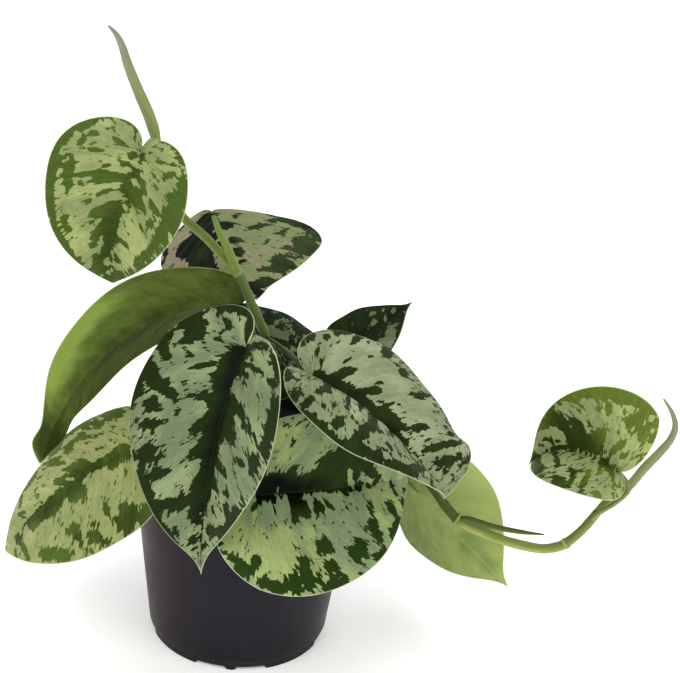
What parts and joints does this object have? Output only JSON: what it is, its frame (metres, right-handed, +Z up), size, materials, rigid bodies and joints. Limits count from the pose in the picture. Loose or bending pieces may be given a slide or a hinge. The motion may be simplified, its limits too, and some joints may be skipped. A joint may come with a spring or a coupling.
{
  "type": "potted plant",
  "caption": "Satin pothos with silver-splashed heart leaves on two trailing vines and rolled new leaves, rooted in soil in a plain black nursery pot.",
  "frame": {"origin": "centre of the flat pad in the middle of the pot's underside, which rests on the surface", "axes": "+Z up along the pot's axis; +X to the side that the longer, trailing vine leans over, -Y to the front that most leaves face"},
  "size_m": [0.3223, 0.2255, 0.3104],
  "materials": {
    "pot_plastic": "satin",
    "potting_soil": "matte",
    "vine_green": "satin",
    "shoot_green": "satin",
    "leaf_dark": "satin",
    "leaf_light": "satin",
    "leaf_silver": "satin",
    "leaf_underside": "satin"
  },
  "bodies": {
    "root": {"pot": "pot_plastic", "soil": "potting_soil", "vine_left": "vine_green", "vine_right": "vine_green", "leaf_crown_left": "leaf_light", "leaf_back_upper": "leaf_silver", "leaf_arching_left": "leaf_underside", "leaf_low_left": "leaf_dark", "leaf_front_centre": "leaf_dark", "leaf_front_right": "leaf_dark", "leaf_low_front": "leaf_dark", "leaf_low_right": "leaf_underside", "leaf_back_right": "leaf_dark", "leaf_back_middle": "leaf_dark", "leaf_tip_right": "leaf_light", "new_leaf_top": "shoot_green", "new_leaf_right": "shoot_green", "sheath_left": "shoot_green", "bud_right": "shoot_green"}
  },
  "joints": []
}
